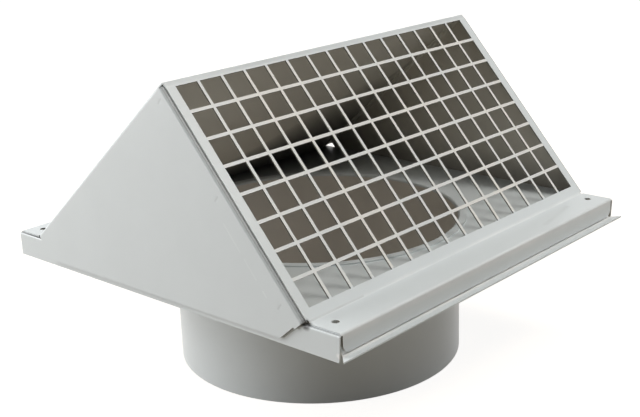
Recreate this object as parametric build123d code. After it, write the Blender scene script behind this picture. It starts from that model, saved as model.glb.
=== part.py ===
from build123d import *
import math
import os

# Wall vent hood of folded sheet steel, in millimetres.
# The collar's axis is Z, the collar's rim is at z = 0, the ridge runs along X and the grille faces -Y.

# Sheet and folds
sheet = 0.7
fold_inside_radius = 0.4
fit_gap = 0.3

# Punched grille, which sets the size of the hood
hole_columns = 15
hole_rows = 8
hole_size = 12.6
bar_width = 1.6
grille_top_margin = 3.5
grille_bottom_margin = 5.6
grille_side_margin = 5.1
front_slope_angle = 49.0

# Hood flanges and their drops
front_flange = 17.9
rear_flange = 15.5
flange_setback = 0.1
drop_setback = 0.8
drop_height = 9.1
drop_corner_radius = 4.0
fold_relief = 1.0
relief_depth = 0.8

# Screw holes through flange and plate
screw_hole_diameter = 3.5
screw_end_distance = 7.9
screw_fold_distance = 8.0

# Side panels
panel_standoff = 2.4
panel_fold_radius = 1.3
panel_flange_width = 6.0
panel_wall_gap = 0.6
panel_foot_depth = 8.9
panel_front_cut = 1.05
panel_cut_step = 1.0
panel_step_depth = 4.2
panel_rear_cut = 3.5
panel_apex_notch = 2.1

# Base pan
wall_depth = 11.9
wall_end_slant = 0.6
lip_reach = 4.1
lip_depth = 10.0
lip_overhang = 2.7
corner_slit = 1.0

# Duct collar
collar_diameter = 150.0
collar_height = 72.2
collar_ring_width = 4.0
collar_hole_gap = 1.0
collar_setback = 94.4

# Worked out from the sizes above
fold_outside_radius = fold_inside_radius + sheet
pitch = hole_size + bar_width
hood_width = hole_columns * pitch - bar_width + 2 * grille_side_margin
flange_width = hood_width - 2 * flange_setback
front_slope_length = grille_top_margin + hole_rows * pitch - bar_width + grille_bottom_margin
slope = math.radians(front_slope_angle)
rise = front_slope_length * math.sin(slope)
rear_slope_length = rise / math.cos(slope)
plate_top = collar_height
flange_top = plate_top + sheet
drop_bottom = flange_top - drop_height
front_fold_y = -collar_setback
ridge_y = front_fold_y + front_slope_length * math.cos(slope)
rear_fold_y = ridge_y + rear_slope_length * math.sin(slope)
front_face_y = front_fold_y - front_flange
rear_face_y = rear_fold_y + rear_flange
panel_outer_x = hood_width / 2 + panel_standoff
pan_half_width = panel_outer_x - sheet - panel_wall_gap
pan_front_y = front_face_y + sheet + fit_gap
pan_rear_y = rear_face_y - sheet - fit_gap
wall_foot = plate_top - wall_depth
screw_x = flange_width / 2 - screw_end_distance
screw_ys = (front_fold_y - screw_fold_distance, rear_fold_y + screw_fold_distance)

# Unit directions in the YZ plane: up each slope, and from each slope into the hood
front_fold = Vector(0, front_fold_y, flange_top)
rear_fold = Vector(0, rear_fold_y, flange_top)
ridge = Vector(0, ridge_y, flange_top + rise)
front_up = Vector(0, math.cos(slope), math.sin(slope))
front_in = Vector(0, math.sin(slope), -math.cos(slope))
rear_up = Vector(0, -math.sin(slope), math.cos(slope))
rear_in = Vector(0, -math.cos(slope), -math.sin(slope))


def bent_sheet(points, radii, side):
    """Face of a sheet whose one side follows the points, rounded at its folds."""
    line = FilletPolyline(*points, radius=radii)
    return make_face(offset(line, sheet, side=side))


def block(x_range, y_range, z_range):
    """Plain box between the given limits."""
    size = [high - low for low, high in (x_range, y_range, z_range)]
    middle = [(high + low) / 2 for low, high in (x_range, y_range, z_range)]
    return Pos(*middle) * Box(*size)


def screw_holes():
    """Round cutters for the four screws, through flange and plate."""
    length = 6 * sheet
    cutter = Cylinder(screw_hole_diameter / 2, length)
    return [Pos(x, y, plate_top) * cutter for x in (-screw_x, screw_x) for y in screw_ys]


def grille_holes():
    """Square cutters of the punched grille, laid out on the front slope."""
    middle = grille_top_margin + (hole_rows * pitch - bar_width) / 2
    centre = ridge - front_up * middle
    face = Plane(origin=centre, x_dir=(1, 0, 0), z_dir=-front_in)
    cutter = Box(hole_size, hole_size, 4 * sheet)
    return [face.location * spot * cutter for spot in GridLocations(pitch, pitch, hole_columns, hole_rows)]


def hood_shell():
    """Front drop, flange, punched slope, ridge, rear slope, flange and drop from one sheet."""
    outer_line = [
        (front_face_y, drop_bottom),
        (front_face_y, flange_top),
        (front_fold_y, flange_top),
        (ridge_y, flange_top + rise),
        (rear_fold_y, flange_top),
        (rear_face_y, flange_top),
        (rear_face_y, drop_bottom),
    ]
    convex, concave = fold_outside_radius, fold_inside_radius
    profile = bent_sheet(outer_line, [convex, concave, convex, concave, convex], Side.RIGHT)
    shell = extrude(Plane.YZ * profile, hood_width / 2, both=True)
    end_range = (flange_width / 2, hood_width)
    front_range = (front_face_y - sheet, front_fold_y + fold_relief)
    rear_range = (rear_fold_y - fold_relief, rear_face_y + sheet)
    low_range = (drop_bottom - sheet, flange_top + fold_relief)
    relief_range = (flange_width / 2 - relief_depth, hood_width)
    front_relief = (front_fold_y - fold_relief, front_fold_y + fold_relief)
    rear_relief = (rear_fold_y - fold_relief, rear_fold_y + fold_relief)
    drop_end_range = (flange_width / 2 - drop_setback, hood_width)
    drop_range = (drop_bottom - sheet, flange_top - fold_outside_radius)
    end_cuts = [
        block(end_range, front_range, low_range),
        block(end_range, rear_range, low_range),
        block(relief_range, front_relief, low_range),
        block(relief_range, rear_relief, low_range),
        block(drop_end_range, (front_face_y - sheet, front_face_y + 2 * sheet), drop_range),
        block(drop_end_range, (rear_face_y - 2 * sheet, rear_face_y + sheet), drop_range),
    ]
    for end_cut in end_cuts:
        shell -= end_cut
        shell -= mirror(end_cut, Plane.YZ)
    corners = shell.edges().filter_by(Axis.Y).group_by(Axis.Z)[0]
    shell = fillet(corners, drop_corner_radius)
    shell -= grille_holes()
    for cutter in screw_holes():
        shell -= cutter
    return shell


def panel_strip(fold, up, inward, start, end):
    """Turned-in flange of a side panel under one slope, with its fold and the edge of the face."""
    face_edge = sheet + panel_fold_radius + sheet
    line = [
        (panel_outer_x, -face_edge),
        (panel_outer_x, -sheet),
        (panel_outer_x - panel_flange_width, -sheet),
    ]
    profile = bent_sheet(line, [panel_fold_radius], Side.LEFT)
    section = Plane(origin=fold + up * start, x_dir=(1, 0, 0), z_dir=Vector(1, 0, 0).cross(-inward))
    length = end - start
    if section.z_dir.dot(up) < 0:
        length = -length
    return extrude(section * profile, length)


def side_panel_right():
    """Triangle with a hanging tab and two turned-in flanges."""
    edge = sheet + panel_fold_radius
    foot = plate_top - panel_foot_depth
    step = (flange_top - panel_step_depth - front_fold.Z) / front_in.Z
    front_low = panel_front_cut + panel_cut_step
    front_start = front_fold + front_up * panel_front_cut
    front_step = front_fold + front_up * front_low
    rear_start = rear_fold + rear_up * panel_rear_cut
    outline = [
        front_start + front_in * edge,
        front_start + front_in * step,
        front_step + front_in * step,
        front_step + front_in * ((foot - front_step.Z) / front_in.Z),
        rear_start + rear_in * ((foot - rear_start.Z) / rear_in.Z),
        rear_start + rear_in * edge,
        ridge + front_in * edge + rear_in * edge,
    ]
    face = make_face(Polyline(*[(point.Y, point.Z) for point in outline], close=True))
    panel = extrude(Plane.YZ.offset(panel_outer_x - sheet) * face, sheet)
    front_end = front_slope_length - panel_apex_notch
    rear_end = rear_slope_length - panel_apex_notch
    panel += panel_strip(front_fold, front_up, front_in, panel_front_cut, front_end)
    panel += panel_strip(rear_fold, rear_up, rear_in, panel_rear_cut, rear_end)
    return panel


def base_pan():
    """Plate with the duct hole, walls turned down, and the front wall turned out as a lip."""
    convex, concave = fold_outside_radius, fold_inside_radius
    across = [
        (-pan_half_width, wall_foot),
        (-pan_half_width, plate_top),
        (pan_half_width, plate_top),
        (pan_half_width, wall_foot),
    ]
    profile = bent_sheet(across, [convex, convex], Side.RIGHT)
    pan = extrude(Plane.XZ.offset(-rear_face_y) * profile, rear_face_y - front_face_y)
    slant = [
        (front_face_y - sheet, plate_top),
        (front_face_y, plate_top),
        (front_face_y + wall_end_slant, wall_foot),
        (front_face_y + wall_end_slant, wall_foot - sheet),
        (front_face_y - sheet, wall_foot - sheet),
    ]
    slant_face = make_face(Polyline(*slant, close=True))
    pan -= extrude(Plane.YZ * slant_face, pan_half_width + sheet, both=True)
    flat_half = pan_half_width - convex
    flat_range = (-flat_half, flat_half)
    plate_range = (plate_top - 2 * sheet, plate_top + sheet)
    pan -= block(flat_range, (front_face_y - sheet, pan_front_y + convex), plate_range)
    pan -= block(flat_range, (pan_rear_y - convex, rear_face_y + sheet), plate_range)
    lip_top = plate_top - lip_depth + sheet
    lip_front_y = front_face_y - lip_reach
    inset = 2 * convex
    front_line = [
        (pan_front_y + inset, plate_top),
        (pan_front_y, plate_top),
        (pan_front_y, lip_top),
        (lip_front_y, lip_top),
    ]
    rear_line = [
        (pan_rear_y - inset, plate_top),
        (pan_rear_y, plate_top),
        (pan_rear_y, wall_foot),
    ]
    end_half = flat_half - corner_slit
    front_wall = bent_sheet(front_line, [convex, concave], Side.LEFT)
    rear_wall = bent_sheet(rear_line, [convex], Side.RIGHT)
    pan += extrude(Plane.YZ * front_wall, end_half, both=True)
    pan += extrude(Plane.YZ * rear_wall, end_half, both=True)
    lip_half = pan_half_width + lip_overhang
    lip_root_y = pan_front_y - concave
    lip = [(-lip_half, lip_front_y), (lip_half, lip_front_y), (end_half, lip_root_y), (-end_half, lip_root_y)]
    pan += extrude(Pos(0, 0, lip_top - sheet) * make_face(Polyline(*lip, close=True)), sheet)
    pan -= Pos(0, 0, plate_top) * Cylinder(collar_diameter / 2 + collar_hole_gap, 6 * sheet)
    for cutter in screw_holes():
        pan -= cutter
    return pan


def duct_collar():
    """Rolled tube whose upper edge is turned out over the plate."""
    inner_radius = collar_diameter / 2 - sheet
    ring_radius = collar_diameter / 2 + collar_ring_width
    line = [(inner_radius, 0), (inner_radius, flange_top), (ring_radius, flange_top)]
    profile = bent_sheet(line, [fold_outside_radius], Side.RIGHT)
    return revolve(Plane.XZ * profile, Axis.Z)


os.makedirs("parts", exist_ok=True)
right_panel = side_panel_right()
pieces = {
    "hood_shell": hood_shell(),
    "side_panel_right": right_panel,
    "side_panel_left": mirror(right_panel, Plane.YZ),
    "base_pan": base_pan(),
    "duct_collar": duct_collar(),
}
for name, piece in pieces.items():
    export_step(piece, f"parts/{name}.step")
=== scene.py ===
import bpy
import math
from mathutils import Matrix, Vector

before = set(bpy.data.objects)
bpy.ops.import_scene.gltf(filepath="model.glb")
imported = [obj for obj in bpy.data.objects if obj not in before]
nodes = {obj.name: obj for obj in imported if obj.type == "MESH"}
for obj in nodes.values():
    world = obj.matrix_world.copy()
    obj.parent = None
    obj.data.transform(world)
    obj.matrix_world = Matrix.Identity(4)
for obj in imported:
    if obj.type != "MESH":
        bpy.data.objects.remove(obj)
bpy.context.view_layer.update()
print("frame loaded:", ", ".join(sorted(nodes)))


def linear(hexColour):  # sRGB hex to the linear colour that Blender's sockets take
    parts = [int(hexColour[i:i + 2], 16) / 255 for i in (1, 3, 5)]
    return [c / 12.92 if c <= 0.04045 else ((c + 0.055) / 1.055) ** 2.4 for c in parts] + [1.0]


def addNode(tree, kind, settings=None, **links):  # one node with its settings, values and links
    node = tree.nodes.new(kind)
    for name, value in (settings or {}).items():
        setattr(node, name, value)
    for key, value in links.items():
        slot = node.inputs[int(key[2:])] if key.startswith("in") else node.inputs[key.replace("_", " ")]
        if isinstance(value, bpy.types.NodeSocket):
            tree.links.new(value, slot)
        else:
            slot.default_value = value
    return node


def newMaterial(name):
    material = bpy.data.materials.new(name)
    material.use_nodes = True
    material.node_tree.nodes.clear()
    return material, material.node_tree


# Coil-coated steel: zinc-coated sheet, painted flat in the mill and cured, then punched and folded.
# The weather side is an even satin white with a cool tint. The back has a thin warm grey primer coat.
# Punched and sheared edges show the zinc and steel under the paint as thin grey lines.
coating = {
    "white": "#dee4e6",
    "backCoat": "#d1ccc1",
    "cutEdge": "#8d8a84",
    # dark tone of the painted shade in corners, creases, joints and the relief notch
    "shadeTone": "#0b0a09",
    "roughness": 0.32,
    "backRoughness": 0.6,
    "ior": 1.5,
    "orangePeelMm": 2.2,      # size of the paint's soft dimples
    "peelDepthMm": 0.4,
    "peelStrength": 0.03,
    "handlingMm": 38.0,       # size of the faint cloudy marks from handling
    "handlingRange": (0.35, 0.7),
    "handlingDarkest": 0.97,
    "patchRange": (0.4, 0.6), # small marks fade where these clouds are thin
    "patchLeast": 0.4,
    "sideLimit": 0.45,        # a face turned less than this to either side is a cut edge
}

# Painted shade: the sheet is painted darker towards the corner of the rear fold, on the plate along the side
# panels, in the joint between panels and hood and in the relief notch, where shade falls. Lengths are in
# millimetres.
paintedShade = {
    "rearFold": (90.2, 72.9),       # y and z of the rear fold
    "frontFold": (-94.4, 72.9),
    "slopeAngle": 49.0,
    "reachMiddle": 25.0,            # how far the painted shade reaches from the rear fold in the middle
    "reachEnds": 85.0,              # and near the side panels
    "endsFromMiddle": 95.0,
    "softness": 0.7,
    "sideCorner": (112.5, 72.2),    # x and z where a side panel meets the plate
    "sideReach": 22.0,
    "sideMost": 0.45,
    "jointFull": 0.7,               # depth under the front slope that the joint's painted shade fills
    "jointEnd": 1.0,
    "jointMost": 0.58,
    "notch": (-111.6, -94.2, 72.4),
    "notchReach": 3.2,
    "notchMost": 0.85,
}


# painted shade: darker towards the corner of the rear fold, reaching further near the side panels
def rearCornerPaintedShade(tree, place, reachScale, most):
    across = addNode(tree, "ShaderNodeCombineXYZ", in1=place.outputs[1], in2=place.outputs[2]).outputs[0]
    y, z = paintedShade["rearFold"]
    away = addNode(tree, "ShaderNodeVectorMath", {"operation": "DISTANCE"}, in0=across,
                   in1=(0, y / 1000, z / 1000)).outputs["Value"]
    fromMiddle = addNode(tree, "ShaderNodeMath", {"operation": "ABSOLUTE"}, in0=place.outputs[0]).outputs[0]
    reach = addNode(tree, "ShaderNodeMapRange", {"interpolation_type": "SMOOTHSTEP"}, in0=fromMiddle,
                    in2=paintedShade["endsFromMiddle"] / 1000, in3=paintedShade["reachMiddle"] * reachScale / 1000,
                    in4=paintedShade["reachEnds"] * reachScale / 1000).outputs[0]
    share = addNode(tree, "ShaderNodeMath", {"operation": "DIVIDE"}, in0=away, in1=reach).outputs[0]
    left = addNode(tree, "ShaderNodeMapRange", in0=share, in3=1.0, in4=0.0).outputs[0]
    soft = addNode(tree, "ShaderNodeMath", {"operation": "POWER"}, in0=left, in1=paintedShade["softness"]).outputs[0]
    return addNode(tree, "ShaderNodeMath", {"operation": "MULTIPLY"}, in0=soft, in1=most).outputs[0]


# painted shade: darker towards the corners where the side panels meet the plate
def sideCornerPaintedShade(tree, place):
    fromMiddle = addNode(tree, "ShaderNodeMath", {"operation": "ABSOLUTE"}, in0=place.outputs[0]).outputs[0]
    across = addNode(tree, "ShaderNodeCombineXYZ", in0=fromMiddle, in2=place.outputs[2]).outputs[0]
    x, z = paintedShade["sideCorner"]
    away = addNode(tree, "ShaderNodeVectorMath", {"operation": "DISTANCE"}, in0=across,
                   in1=(x / 1000, 0, z / 1000)).outputs["Value"]
    return addNode(tree, "ShaderNodeMapRange", {"interpolation_type": "SMOOTHSTEP"}, in0=away,
                   in2=paintedShade["sideReach"] / 1000, in3=paintedShade["sideMost"], in4=0.0).outputs[0]


def notchPaintedShade(tree, place):  # painted shade: a dark dot in the relief notch at the left end of the front fold, where it lies in shadow
    spot = addNode(tree, "ShaderNodeCombineXYZ", in0=place.outputs[0], in1=place.outputs[1],
                   in2=place.outputs[2]).outputs[0]
    away = addNode(tree, "ShaderNodeVectorMath", {"operation": "DISTANCE"}, in0=spot,
                   in1=[v / 1000 for v in paintedShade["notch"]]).outputs["Value"]
    return addNode(tree, "ShaderNodeMapRange", {"interpolation_type": "SMOOTHSTEP"}, in0=away,
                   in1=paintedShade["notchReach"] / 3000, in2=paintedShade["notchReach"] / 1000,
                   in3=paintedShade["notchMost"], in4=0.0).outputs[0]


def jointPaintedShade(tree, place):  # painted shade in the crease along the fold of a side panel, next to the edge of the front slope
    angle = math.radians(paintedShade["slopeAngle"])
    y, z = paintedShade["frontFold"]
    offset = (y * math.sin(angle) - z * math.cos(angle)) / 1000
    across = addNode(tree, "ShaderNodeCombineXYZ", in1=place.outputs[1], in2=place.outputs[2]).outputs[0]
    depth = addNode(tree, "ShaderNodeVectorMath", {"operation": "DOT_PRODUCT"}, in0=across,
                    in1=(0, math.sin(angle), -math.cos(angle))).outputs["Value"]
    return addNode(tree, "ShaderNodeMapRange", {"interpolation_type": "SMOOTHSTEP"}, in0=depth,
                   in1=offset + paintedShade["jointFull"] / 1000, in2=offset + paintedShade["jointEnd"] / 1000,
                   in3=paintedShade["jointMost"], in4=0.0).outputs[0]


def strokeMask(tree, place, mark):  # soft stroke between two points, in the two named axes
    first, second = mark["axes"]
    spot = addNode(tree, "ShaderNodeCombineXYZ", in0=place.outputs[first],
                   in1=place.outputs[second]).outputs[0]
    start, end = (Vector((*mark[k], 0.0)) / 1000 for k in ("start", "end"))
    way = (end - start).normalized()
    fromStart = addNode(tree, "ShaderNodeVectorMath", {"operation": "SUBTRACT"}, in0=spot,
                        in1=start).outputs[0]
    along = addNode(tree, "ShaderNodeVectorMath", {"operation": "DOT_PRODUCT"}, in0=fromStart,
                    in1=way).outputs["Value"]
    kept = addNode(tree, "ShaderNodeClamp", in0=along, in1=0.0, in2=(end - start).length).outputs[0]
    nearest = addNode(tree, "ShaderNodeVectorMath", {"operation": "SCALE"}, in0=way, Scale=kept).outputs[0]
    away = addNode(tree, "ShaderNodeVectorMath", {"operation": "DISTANCE"}, in0=fromStart,
                   in1=nearest).outputs["Value"]
    mask = addNode(tree, "ShaderNodeMapRange", {"interpolation_type": "SMOOTHSTEP"}, in0=away,
                   in2=mark["widthMm"] / 1000, in3=mark["most"], in4=0.0).outputs[0]
    if "within" in mark:  # no further from the middle than this
        fromMiddle = addNode(tree, "ShaderNodeMath", {"operation": "ABSOLUTE"}, in0=place.outputs[0])
        inside = addNode(tree, "ShaderNodeMath", {"operation": "LESS_THAN"}, in0=fromMiddle.outputs[0],
                         in1=mark["within"] / 1000)
        mask = addNode(tree, "ShaderNodeMath", {"operation": "MULTIPLY"}, in0=mask,
                       in1=inside.outputs[0]).outputs[0]
    return mask


def dentedNormal(tree, place, dents, bump):  # small round dents from the spot welder
    across = addNode(tree, "ShaderNodeCombineXYZ", in1=place.outputs[1], in2=place.outputs[2]).outputs[0]
    depth = 0.0
    for y, z in dents["places"]:
        away = addNode(tree, "ShaderNodeVectorMath", {"operation": "DISTANCE"}, in0=across,
                       in1=(0, y / 1000, z / 1000)).outputs["Value"]
        dent = addNode(tree, "ShaderNodeMapRange", {"interpolation_type": "SMOOTHSTEP"}, in0=away,
                       in1=dents["flatMm"] / 1000, in2=dents["radiusMm"] / 1000, in3=1.0, in4=0.0).outputs[0]
        depth = addNode(tree, "ShaderNodeMath", {"operation": "MAXIMUM"}, in0=dent, in1=depth).outputs[0]
    return addNode(tree, "ShaderNodeBump", {"invert": True}, Strength=1.0, Distance=dents["depthMm"] / 1000,
                   Height=depth, Normal=bump).outputs[0]


def coatedSteel(name, sideRule, backCoat, backPaintedShade=(), weatherPaintedShade=(), marks=(), dents=None):
    # sideRule adds nodes that give about +1 on the weather side, -1 on the back and 0 on a cut edge
    material, tree = newMaterial(name)
    coords = addNode(tree, "ShaderNodeTexCoord")
    place = addNode(tree, "ShaderNodeSeparateXYZ", in0=coords.outputs["Object"])
    facing = addNode(tree, "ShaderNodeSeparateXYZ", in0=coords.outputs["Normal"])
    side = sideRule(tree, place, facing)
    limit = coating["sideLimit"]
    weather = addNode(tree, "ShaderNodeMath", {"operation": "GREATER_THAN"}, in0=side, in1=limit).outputs[0]
    back = addNode(tree, "ShaderNodeMath", {"operation": "LESS_THAN"}, in0=side, in1=-limit).outputs[0]
    clouds = addNode(tree, "ShaderNodeTexNoise", Vector=coords.outputs["Object"],
                     Scale=1000 / coating["handlingMm"], Detail=4.0, Roughness=0.6).outputs[0]
    low, high = coating["handlingRange"]
    cloudy = addNode(tree, "ShaderNodeMapRange", in0=clouds, in1=low, in2=high,
                     in3=coating["handlingDarkest"], in4=1.0).outputs[0]
    white = addNode(tree, "ShaderNodeMix", {"data_type": "RGBA", "blend_type": "MULTIPLY"}, in0=1.0,
                    in6=linear(coating["white"]), in7=cloudy).outputs[2]
    edgeOrBack = addNode(tree, "ShaderNodeMix", {"data_type": "RGBA"}, in0=back,
                         in6=linear(coating["cutEdge"]), in7=linear(backCoat)).outputs[2]
    colour = addNode(tree, "ShaderNodeMix", {"data_type": "RGBA"}, in0=weather, in6=edgeOrBack,
                     in7=white).outputs[2]
    # painted shade: each rule's mask darkens the colour towards the shade tone, on the back or the weather
    # side
    for rules, where in ((backPaintedShade, back), (weatherPaintedShade, weather)):
        for rule in rules:
            amount = addNode(tree, "ShaderNodeMath", {"operation": "MULTIPLY"}, in0=rule(tree, place),
                             in1=where)
            colour = addNode(tree, "ShaderNodeMix", {"data_type": "RGBA"}, in0=amount.outputs[0], in6=colour,
                             in7=linear(coating["shadeTone"])).outputs[2]
    thin, thick = coating["patchRange"]
    patchy = addNode(tree, "ShaderNodeMapRange", in0=clouds, in1=thin, in2=thick,
                     in3=coating["patchLeast"], in4=1.0).outputs[0]
    for mark in marks:
        where = weather if mark["on"] == "weather side" else back
        stroke = strokeMask(tree, place, mark)
        amount = addNode(tree, "ShaderNodeMath", {"operation": "MULTIPLY"}, in0=stroke, in1=where)
        broken = addNode(tree, "ShaderNodeMath", {"operation": "MULTIPLY"}, in0=amount.outputs[0], in1=patchy)
        colour = addNode(tree, "ShaderNodeMix", {"data_type": "RGBA"}, in0=broken.outputs[0], in6=colour,
                         in7=linear(mark["tone"])).outputs[2]
    rough = addNode(tree, "ShaderNodeMapRange", in0=weather, in3=coating["backRoughness"],
                    in4=coating["roughness"]).outputs[0]
    peel = addNode(tree, "ShaderNodeTexNoise", Vector=coords.outputs["Object"],
                   Scale=1000 / coating["orangePeelMm"], Detail=2.0).outputs[0]
    bump = addNode(tree, "ShaderNodeBump", Strength=coating["peelStrength"],
                   Distance=coating["peelDepthMm"] / 1000, Height=peel).outputs[0]
    if dents:
        bump = dentedNormal(tree, place, dents, bump)
    shader = addNode(tree, "ShaderNodeBsdfPrincipled", Base_Color=colour, Roughness=rough,
                     IOR=coating["ior"], Normal=bump)
    addNode(tree, "ShaderNodeOutputMaterial", Surface=shader.outputs[0])
    return material


hood = {
    "ridgeY": -0.01495,
    "endX": 0.1105,
    # reach and darkness of the painted shade at the rear fold
    "shadeReach": 1.0,
    "shadeMost": 0.93,
    "marks": (
        # painted highlight: the grille area of the front slope is painted warmer and brighter than the rest
        # of the sheet
        {"on": "weather side", "axes": (1, 2), "start": (-89.8, 78.2), "end": (-18.3, 160.4),
         "within": 105.7, "widthMm": 1.2, "tone": "#ede9e1", "most": 0.8},
        # painted highlights along the front fold, just below the ridge and on the bend at the top of the
        # drop, and a fine painted shade line on the ridge
        {"on": "weather side", "axes": (1, 2), "start": (-94.4, 72.9), "end": (-94.4, 72.9),
         "widthMm": 1.6, "tone": "#f2f4f4", "most": 0.6},
        {"on": "weather side", "axes": (1, 2), "start": (-15.6, 163.0), "end": (-15.6, 163.0),
         "widthMm": 2.0, "tone": "#a9acac", "most": 0.4},
        {"on": "weather side", "axes": (1, 2), "start": (-16.7, 161.8), "end": (-16.7, 161.8),
         "widthMm": 0.7, "tone": "#f2f4f4", "most": 0.6},
        {"on": "weather side", "axes": (1, 2), "start": (-113.4, 71.6), "end": (-113.4, 71.6),
         "widthMm": 3.4, "tone": "#f6f7f7", "most": 0.8},
        # painted highlight: the left edge of the front slope is painted pure white
        {"on": "weather side", "axes": (0, 1), "start": (-111.0, -93.0), "end": (-111.0, -17.0),
         "widthMm": 0.7, "tone": "#ffffff", "most": 1.0},
        # painted shade in the left end of the front fold, a rub on the flange, and painted shade in the right
        # rear inner corner
        {"on": "weather side", "axes": (0, 1), "start": (-111.0, -94.2), "end": (-75.0, -94.2),
         "widthMm": 0.6, "tone": "#5c5b58", "most": 0.35},
        {"on": "weather side", "axes": (0, 1), "start": (53.0, -106.6), "end": (85.0, -100.5),
         "widthMm": 2.4, "tone": "#a3a5a5", "most": 0.25},
        {"on": "back", "axes": (0, 1), "start": (101.0, 29.0), "end": (111.0, 14.0),
         "widthMm": 3.5, "tone": "#15130f", "most": 0.4},
    ),
}
panels = {
    # reach and darkness of the painted shade at the rear fold
    "shadeReach": 1.0,
    "shadeMost": 0.5,
    "welds": {"places": ((-14.9, 156.0), (-46.9, 117.8), (-81.0, 77.3)),
              "flatMm": 0.4, "radiusMm": 1.6, "depthMm": 0.07},
    "scratch": (((-50.2, 107.7), (-59.1, 97.0)),
                ((-61.6, 94.1), (-68.0, 86.4)),
                ((-71.7, 82.1), (-73.5, 79.9))),
}
panels["marks"] = [  # a broken light scratch beside the front edge, and at each weld a dark hook of painted shade on one side of its dent
    {"on": "weather side", "axes": (1, 2), "start": start, "end": end,
     "widthMm": 0.7, "tone": "#f0f6f6", "most": 0.5}
    for start, end in panels["scratch"]
] + [
    {"on": "weather side", "axes": (1, 2), "start": (y - 0.7, z + 1.2), "end": (y + 1.0, z - 0.9),
     "widthMm": 0.8, "tone": "#6e716f", "most": 0.25}
    for y, z in panels["welds"]["places"]
]
pan = {
    # reach and darkness of the painted shade at the rear fold, on the plate
    "shadeReach": 0.6,
    "shadeMost": 0.93,
    "plateZ": 0.0719,
    "wallsOut": 0.1,      # about how far the walls stand from the middle
    "marks": (  # painted light: the inner bend of the front lip is painted brighter, lifting the shade in the gap under the drop
        {"on": "weather side", "axes": (1, 2), "start": (-111.4, 63.4), "end": (-112.6, 62.4),
         "widthMm": 1.6, "tone": "#fdfdfd", "most": 1.0},
    ),
}
collar = {"bendZ": 0.0716, "inward": -0.02, "innerCoat": "#e4dfd8"}


def shellSide(tree, place, facing):  # outward from the ridge line, and up; paint has run over the ends
    across = addNode(tree, "ShaderNodeMath", {"operation": "SUBTRACT"}, in0=place.outputs[1],
                     in1=hood["ridgeY"])
    which = addNode(tree, "ShaderNodeMath", {"operation": "SIGN"}, in0=across.outputs[0])
    outward = addNode(tree, "ShaderNodeMath", {"operation": "MULTIPLY_ADD"}, in0=facing.outputs[1],
                      in1=which.outputs[0], in2=facing.outputs[2])
    fromMiddle = addNode(tree, "ShaderNodeMath", {"operation": "ABSOLUTE"}, in0=place.outputs[0])
    atEnd = addNode(tree, "ShaderNodeMath", {"operation": "GREATER_THAN"}, in0=fromMiddle.outputs[0],
                    in1=hood["endX"])
    return addNode(tree, "ShaderNodeMath", {"operation": "MULTIPLY_ADD"}, in0=atEnd.outputs[0], in1=2.0,
                   in2=outward.outputs[0]).outputs[0]


def panelSide(tree, place, facing):  # outward along X, and up on the turned-in flanges
    which = addNode(tree, "ShaderNodeMath", {"operation": "SIGN"}, in0=place.outputs[0])
    outward = addNode(tree, "ShaderNodeMath", {"operation": "MULTIPLY_ADD"}, in0=facing.outputs[0],
                      in1=which.outputs[0], in2=facing.outputs[2])
    return outward.outputs[0]


def fromAxis(tree, place, facing):  # how far a face turns outward from the collar's axis, in metres
    alongX = addNode(tree, "ShaderNodeMath", {"operation": "MULTIPLY"}, in0=facing.outputs[0],
                     in1=place.outputs[0])
    return addNode(tree, "ShaderNodeMath", {"operation": "MULTIPLY_ADD"}, in0=facing.outputs[1],
                   in1=place.outputs[1], in2=alongX.outputs[0]).outputs[0]


def panSide(tree, place, facing):  # up, and outward from the middle on the walls
    return addNode(tree, "ShaderNodeMath", {"operation": "MULTIPLY_ADD"}, in0=fromAxis(tree, place, facing),
                   in1=1 / pan["wallsOut"], in2=facing.outputs[2]).outputs[0]


def collarSide(tree, place, facing):  # white outside and on the turned-out ring, back coat inside
    inward = addNode(tree, "ShaderNodeMath", {"operation": "LESS_THAN"}, in0=fromAxis(tree, place, facing),
                     in1=collar["inward"])
    below = addNode(tree, "ShaderNodeMath", {"operation": "LESS_THAN"}, in0=place.outputs[2],
                    in1=collar["bendZ"])
    inWall = addNode(tree, "ShaderNodeMath", {"operation": "MULTIPLY"}, in0=inward.outputs[0],
                     in1=below.outputs[0])
    return addNode(tree, "ShaderNodeMapRange", in0=inWall.outputs[0], in3=1.0, in4=-1.0).outputs[0]


# painted shade in the corner of the rear fold, on the back of the hood and of the side panels
def hoodPaintedShade(tree, place):
    return rearCornerPaintedShade(tree, place, hood["shadeReach"], hood["shadeMost"])


def panelPaintedShade(tree, place):
    return rearCornerPaintedShade(tree, place, panels["shadeReach"], panels["shadeMost"])


def platePaintedShade(tree, place):  # painted shade on the plate alone, not on the walls below it
    amount = rearCornerPaintedShade(tree, place, pan["shadeReach"], pan["shadeMost"])
    sides = sideCornerPaintedShade(tree, place)
    most = addNode(tree, "ShaderNodeMath", {"operation": "MAXIMUM"}, in0=amount, in1=sides)
    onPlate = addNode(tree, "ShaderNodeMath", {"operation": "GREATER_THAN"}, in0=place.outputs[2],
                      in1=pan["plateZ"])
    return addNode(tree, "ShaderNodeMath", {"operation": "MULTIPLY"}, in0=most.outputs[0],
                   in1=onPlate.outputs[0]).outputs[0]


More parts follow.
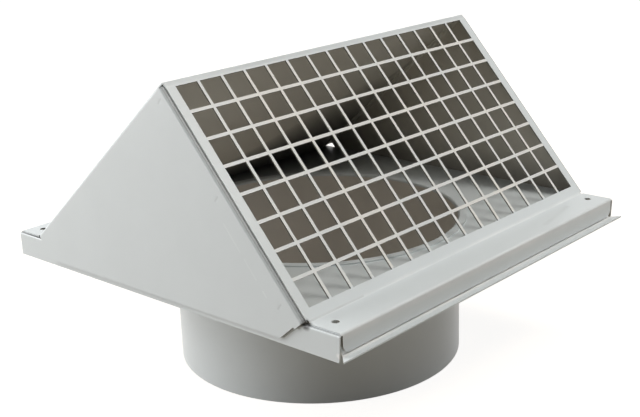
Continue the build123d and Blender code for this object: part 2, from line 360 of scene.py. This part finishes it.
# the back and weather-side lists paint shade into corners, creases, joints and the relief notch
finishes = {
    "hood_shell": coatedSteel("coil-coated steel, punched and folded", shellSide, coating["backCoat"],
                              backPaintedShade=[hoodPaintedShade], weatherPaintedShade=[notchPaintedShade], marks=hood["marks"]),
    "side_panel_left": coatedSteel("coil-coated steel, sheared and folded, scratched", panelSide,
                                   coating["backCoat"], backPaintedShade=[panelPaintedShade, sideCornerPaintedShade],
                                   weatherPaintedShade=[jointPaintedShade, notchPaintedShade], marks=panels["marks"],
                                   dents=panels["welds"]),
    "side_panel_right": coatedSteel("coil-coated steel, sheared and folded", panelSide, coating["backCoat"],
                                    backPaintedShade=[panelPaintedShade, sideCornerPaintedShade], weatherPaintedShade=[jointPaintedShade],
                                    dents=panels["welds"]),
    "base_pan": coatedSteel("coil-coated steel, folded pan", panSide, coating["backCoat"],
                            weatherPaintedShade=[platePaintedShade, notchPaintedShade], marks=pan["marks"]),
    "duct_collar": coatedSteel("coil-coated steel, rolled tube", collarSide, collar["innerCoat"]),
}
for name, node in nodes.items():
    node.data.materials.clear()
    node.data.materials.append(finishes[name])
print("finishes set on", len(nodes), "pieces")

# Pale floor and white surround
studio = {
    "floorSize": 6.0,
    "floorDrop": 0.0002,     # keeps the floor clear of the collar's rim
    "floor": "#9a9285",
    "nearGlow": 0.9,         # light the floor adds for the camera, so that it reads as white paper
    "farGlow": 1.0,          # and where the softboxes no longer reach it
    "glowFrom": 0.3,
    "farFrom": 1.2,
}


def seenOrMirrored(tree):  # 1 for rays that come from the camera, straight, mirrored or through glass
    path = addNode(tree, "ShaderNodeLightPath")
    seen = path.outputs["Is Camera Ray"]
    for kind in ("Is Glossy Ray", "Is Transmission Ray"):
        seen = addNode(tree, "ShaderNodeMath", {"operation": "MAXIMUM"}, in0=seen,
                       in1=path.outputs[kind]).outputs[0]
    return seen


def buildFloor():
    mesh = bpy.data.meshes.new("floor")
    half = studio["floorSize"] / 2
    corners = [(-half, -half, 0), (half, -half, 0), (half, half, 0), (-half, half, 0)]
    mesh.from_pydata(corners, [], [(0, 1, 2, 3)])
    floor = bpy.data.objects.new("floor", mesh)
    bpy.context.scene.collection.objects.link(floor)
    floor.location.z = -studio["floorDrop"]
    material, tree = newMaterial("white paper sweep")
    coords = addNode(tree, "ShaderNodeTexCoord")
    away = addNode(tree, "ShaderNodeVectorMath", {"operation": "LENGTH"}, in0=coords.outputs["Object"])
    white = addNode(tree, "ShaderNodeMapRange", in0=away.outputs["Value"], in1=studio["glowFrom"],
                    in2=studio["farFrom"], in3=studio["nearGlow"], in4=studio["farGlow"])
    strength = addNode(tree, "ShaderNodeMath", {"operation": "MULTIPLY"}, in0=seenOrMirrored(tree),
                       in1=white.outputs[0])
    paper = addNode(tree, "ShaderNodeBsdfDiffuse", Color=linear(studio["floor"]))
    glow = addNode(tree, "ShaderNodeEmission", Strength=strength.outputs[0])
    both = addNode(tree, "ShaderNodeAddShader", in0=paper.outputs[0], in1=glow.outputs[0])
    addNode(tree, "ShaderNodeOutputMaterial", Surface=both.outputs[0])
    mesh.materials.append(material)


def buildWorld():
    world = bpy.data.worlds.new("white studio")
    world.use_nodes = True
    tree = world.node_tree
    tree.nodes.clear()
    sky = addNode(tree, "ShaderNodeBackground", Color=(1, 1, 1, 1), Strength=seenOrMirrored(tree))
    addNode(tree, "ShaderNodeOutputWorld", Surface=sky.outputs[0])
    bpy.context.scene.world = world


# Softboxes: direction from the object, size in metres, watts, and a tint where the light is warm
softboxes = {
    "strong softbox, low at the rear left": {"toward": (-0.63, 0.75, 0.13), "size": 0.9, "watts": 10.7},
    "softbox at the rear left": {"toward": (-0.80, 0.52, 0.30), "size": 0.9, "watts": 2.6},
    "softbox, high at the rear left": {"toward": (-0.40, 0.60, 0.70), "size": 0.9, "watts": 7.8},
    "small softbox, high at the front right": {"toward": (0.42, -0.48, 0.76), "size": 0.4, "watts": 5.65,
                                               "tint": "#fffcf6"},
    "small softbox, overhead to the right": {"toward": (0.35, -0.20, 0.90), "size": 0.4, "watts": 3.7,
                                             "tint": "#fffcf6"},
    "weak softbox, low in front": {"toward": (0.50, -0.83, 0.18), "size": 0.9, "watts": 1.2},
    "weak softbox at the front right": {"toward": (0.70, -0.65, 0.30), "size": 0.9, "watts": 1.2},
    "weak softbox, high at the front left": {"toward": (-0.45, -0.35, 0.82), "size": 0.9, "watts": 2.0},
}
softboxAway = 1.3
softboxAim = (0.0, 0.0, 0.09)


def buildLights():
    for name, box in softboxes.items():
        lamp = bpy.data.lights.new(name, "AREA")
        lamp.shape = "SQUARE"
        lamp.size = box["size"]
        lamp.energy = box["watts"]
        lamp.color = linear(box.get("tint", "#ffffff"))[:3]
        holder = bpy.data.objects.new(name, lamp)
        bpy.context.scene.collection.objects.link(holder)
        direction = Vector(box["toward"]).normalized()
        holder.location = Vector(softboxAim) + direction * softboxAway
        holder.rotation_euler = (-direction).to_track_quat("-Z", "Y").to_euler()


# Camera: where the photo was taken from, fitted to the even grid of the grille
lens = {
    "place": (-0.4295, -0.3925, 0.2614),
    "azimuth": -47.783,
    "elevation": 17.738,
    "roll": -2.061,
    "mm": 65.2,
    "sensorMm": 36.0,
    "nearest": 0.01,
}


def buildCamera():
    camera = bpy.data.cameras.new("camera")
    camera.lens = lens["mm"]
    camera.sensor_width = lens["sensorMm"]
    camera.clip_start = lens["nearest"]
    holder = bpy.data.objects.new("camera", camera)
    bpy.context.scene.collection.objects.link(holder)
    a, e, r = (math.radians(lens[k]) for k in ("azimuth", "elevation", "roll"))
    back = Vector((math.sin(a) * math.cos(e), -math.cos(a) * math.cos(e), math.sin(e)))
    levelRight = Vector((math.cos(a), math.sin(a), 0.0))
    levelUp = back.cross(levelRight)
    right = levelRight * math.cos(r) + levelUp * math.sin(r)
    up = levelUp * math.cos(r) - levelRight * math.sin(r)
    turn = Matrix((right, up, back)).transposed().to_4x4()
    holder.matrix_world = Matrix.Translation(Vector(lens["place"])) @ turn
    bpy.context.scene.camera = holder


buildFloor()
buildWorld()
buildLights()
buildCamera()
bpy.context.scene.view_settings.view_transform = "Standard"
print("floor, light and camera set")
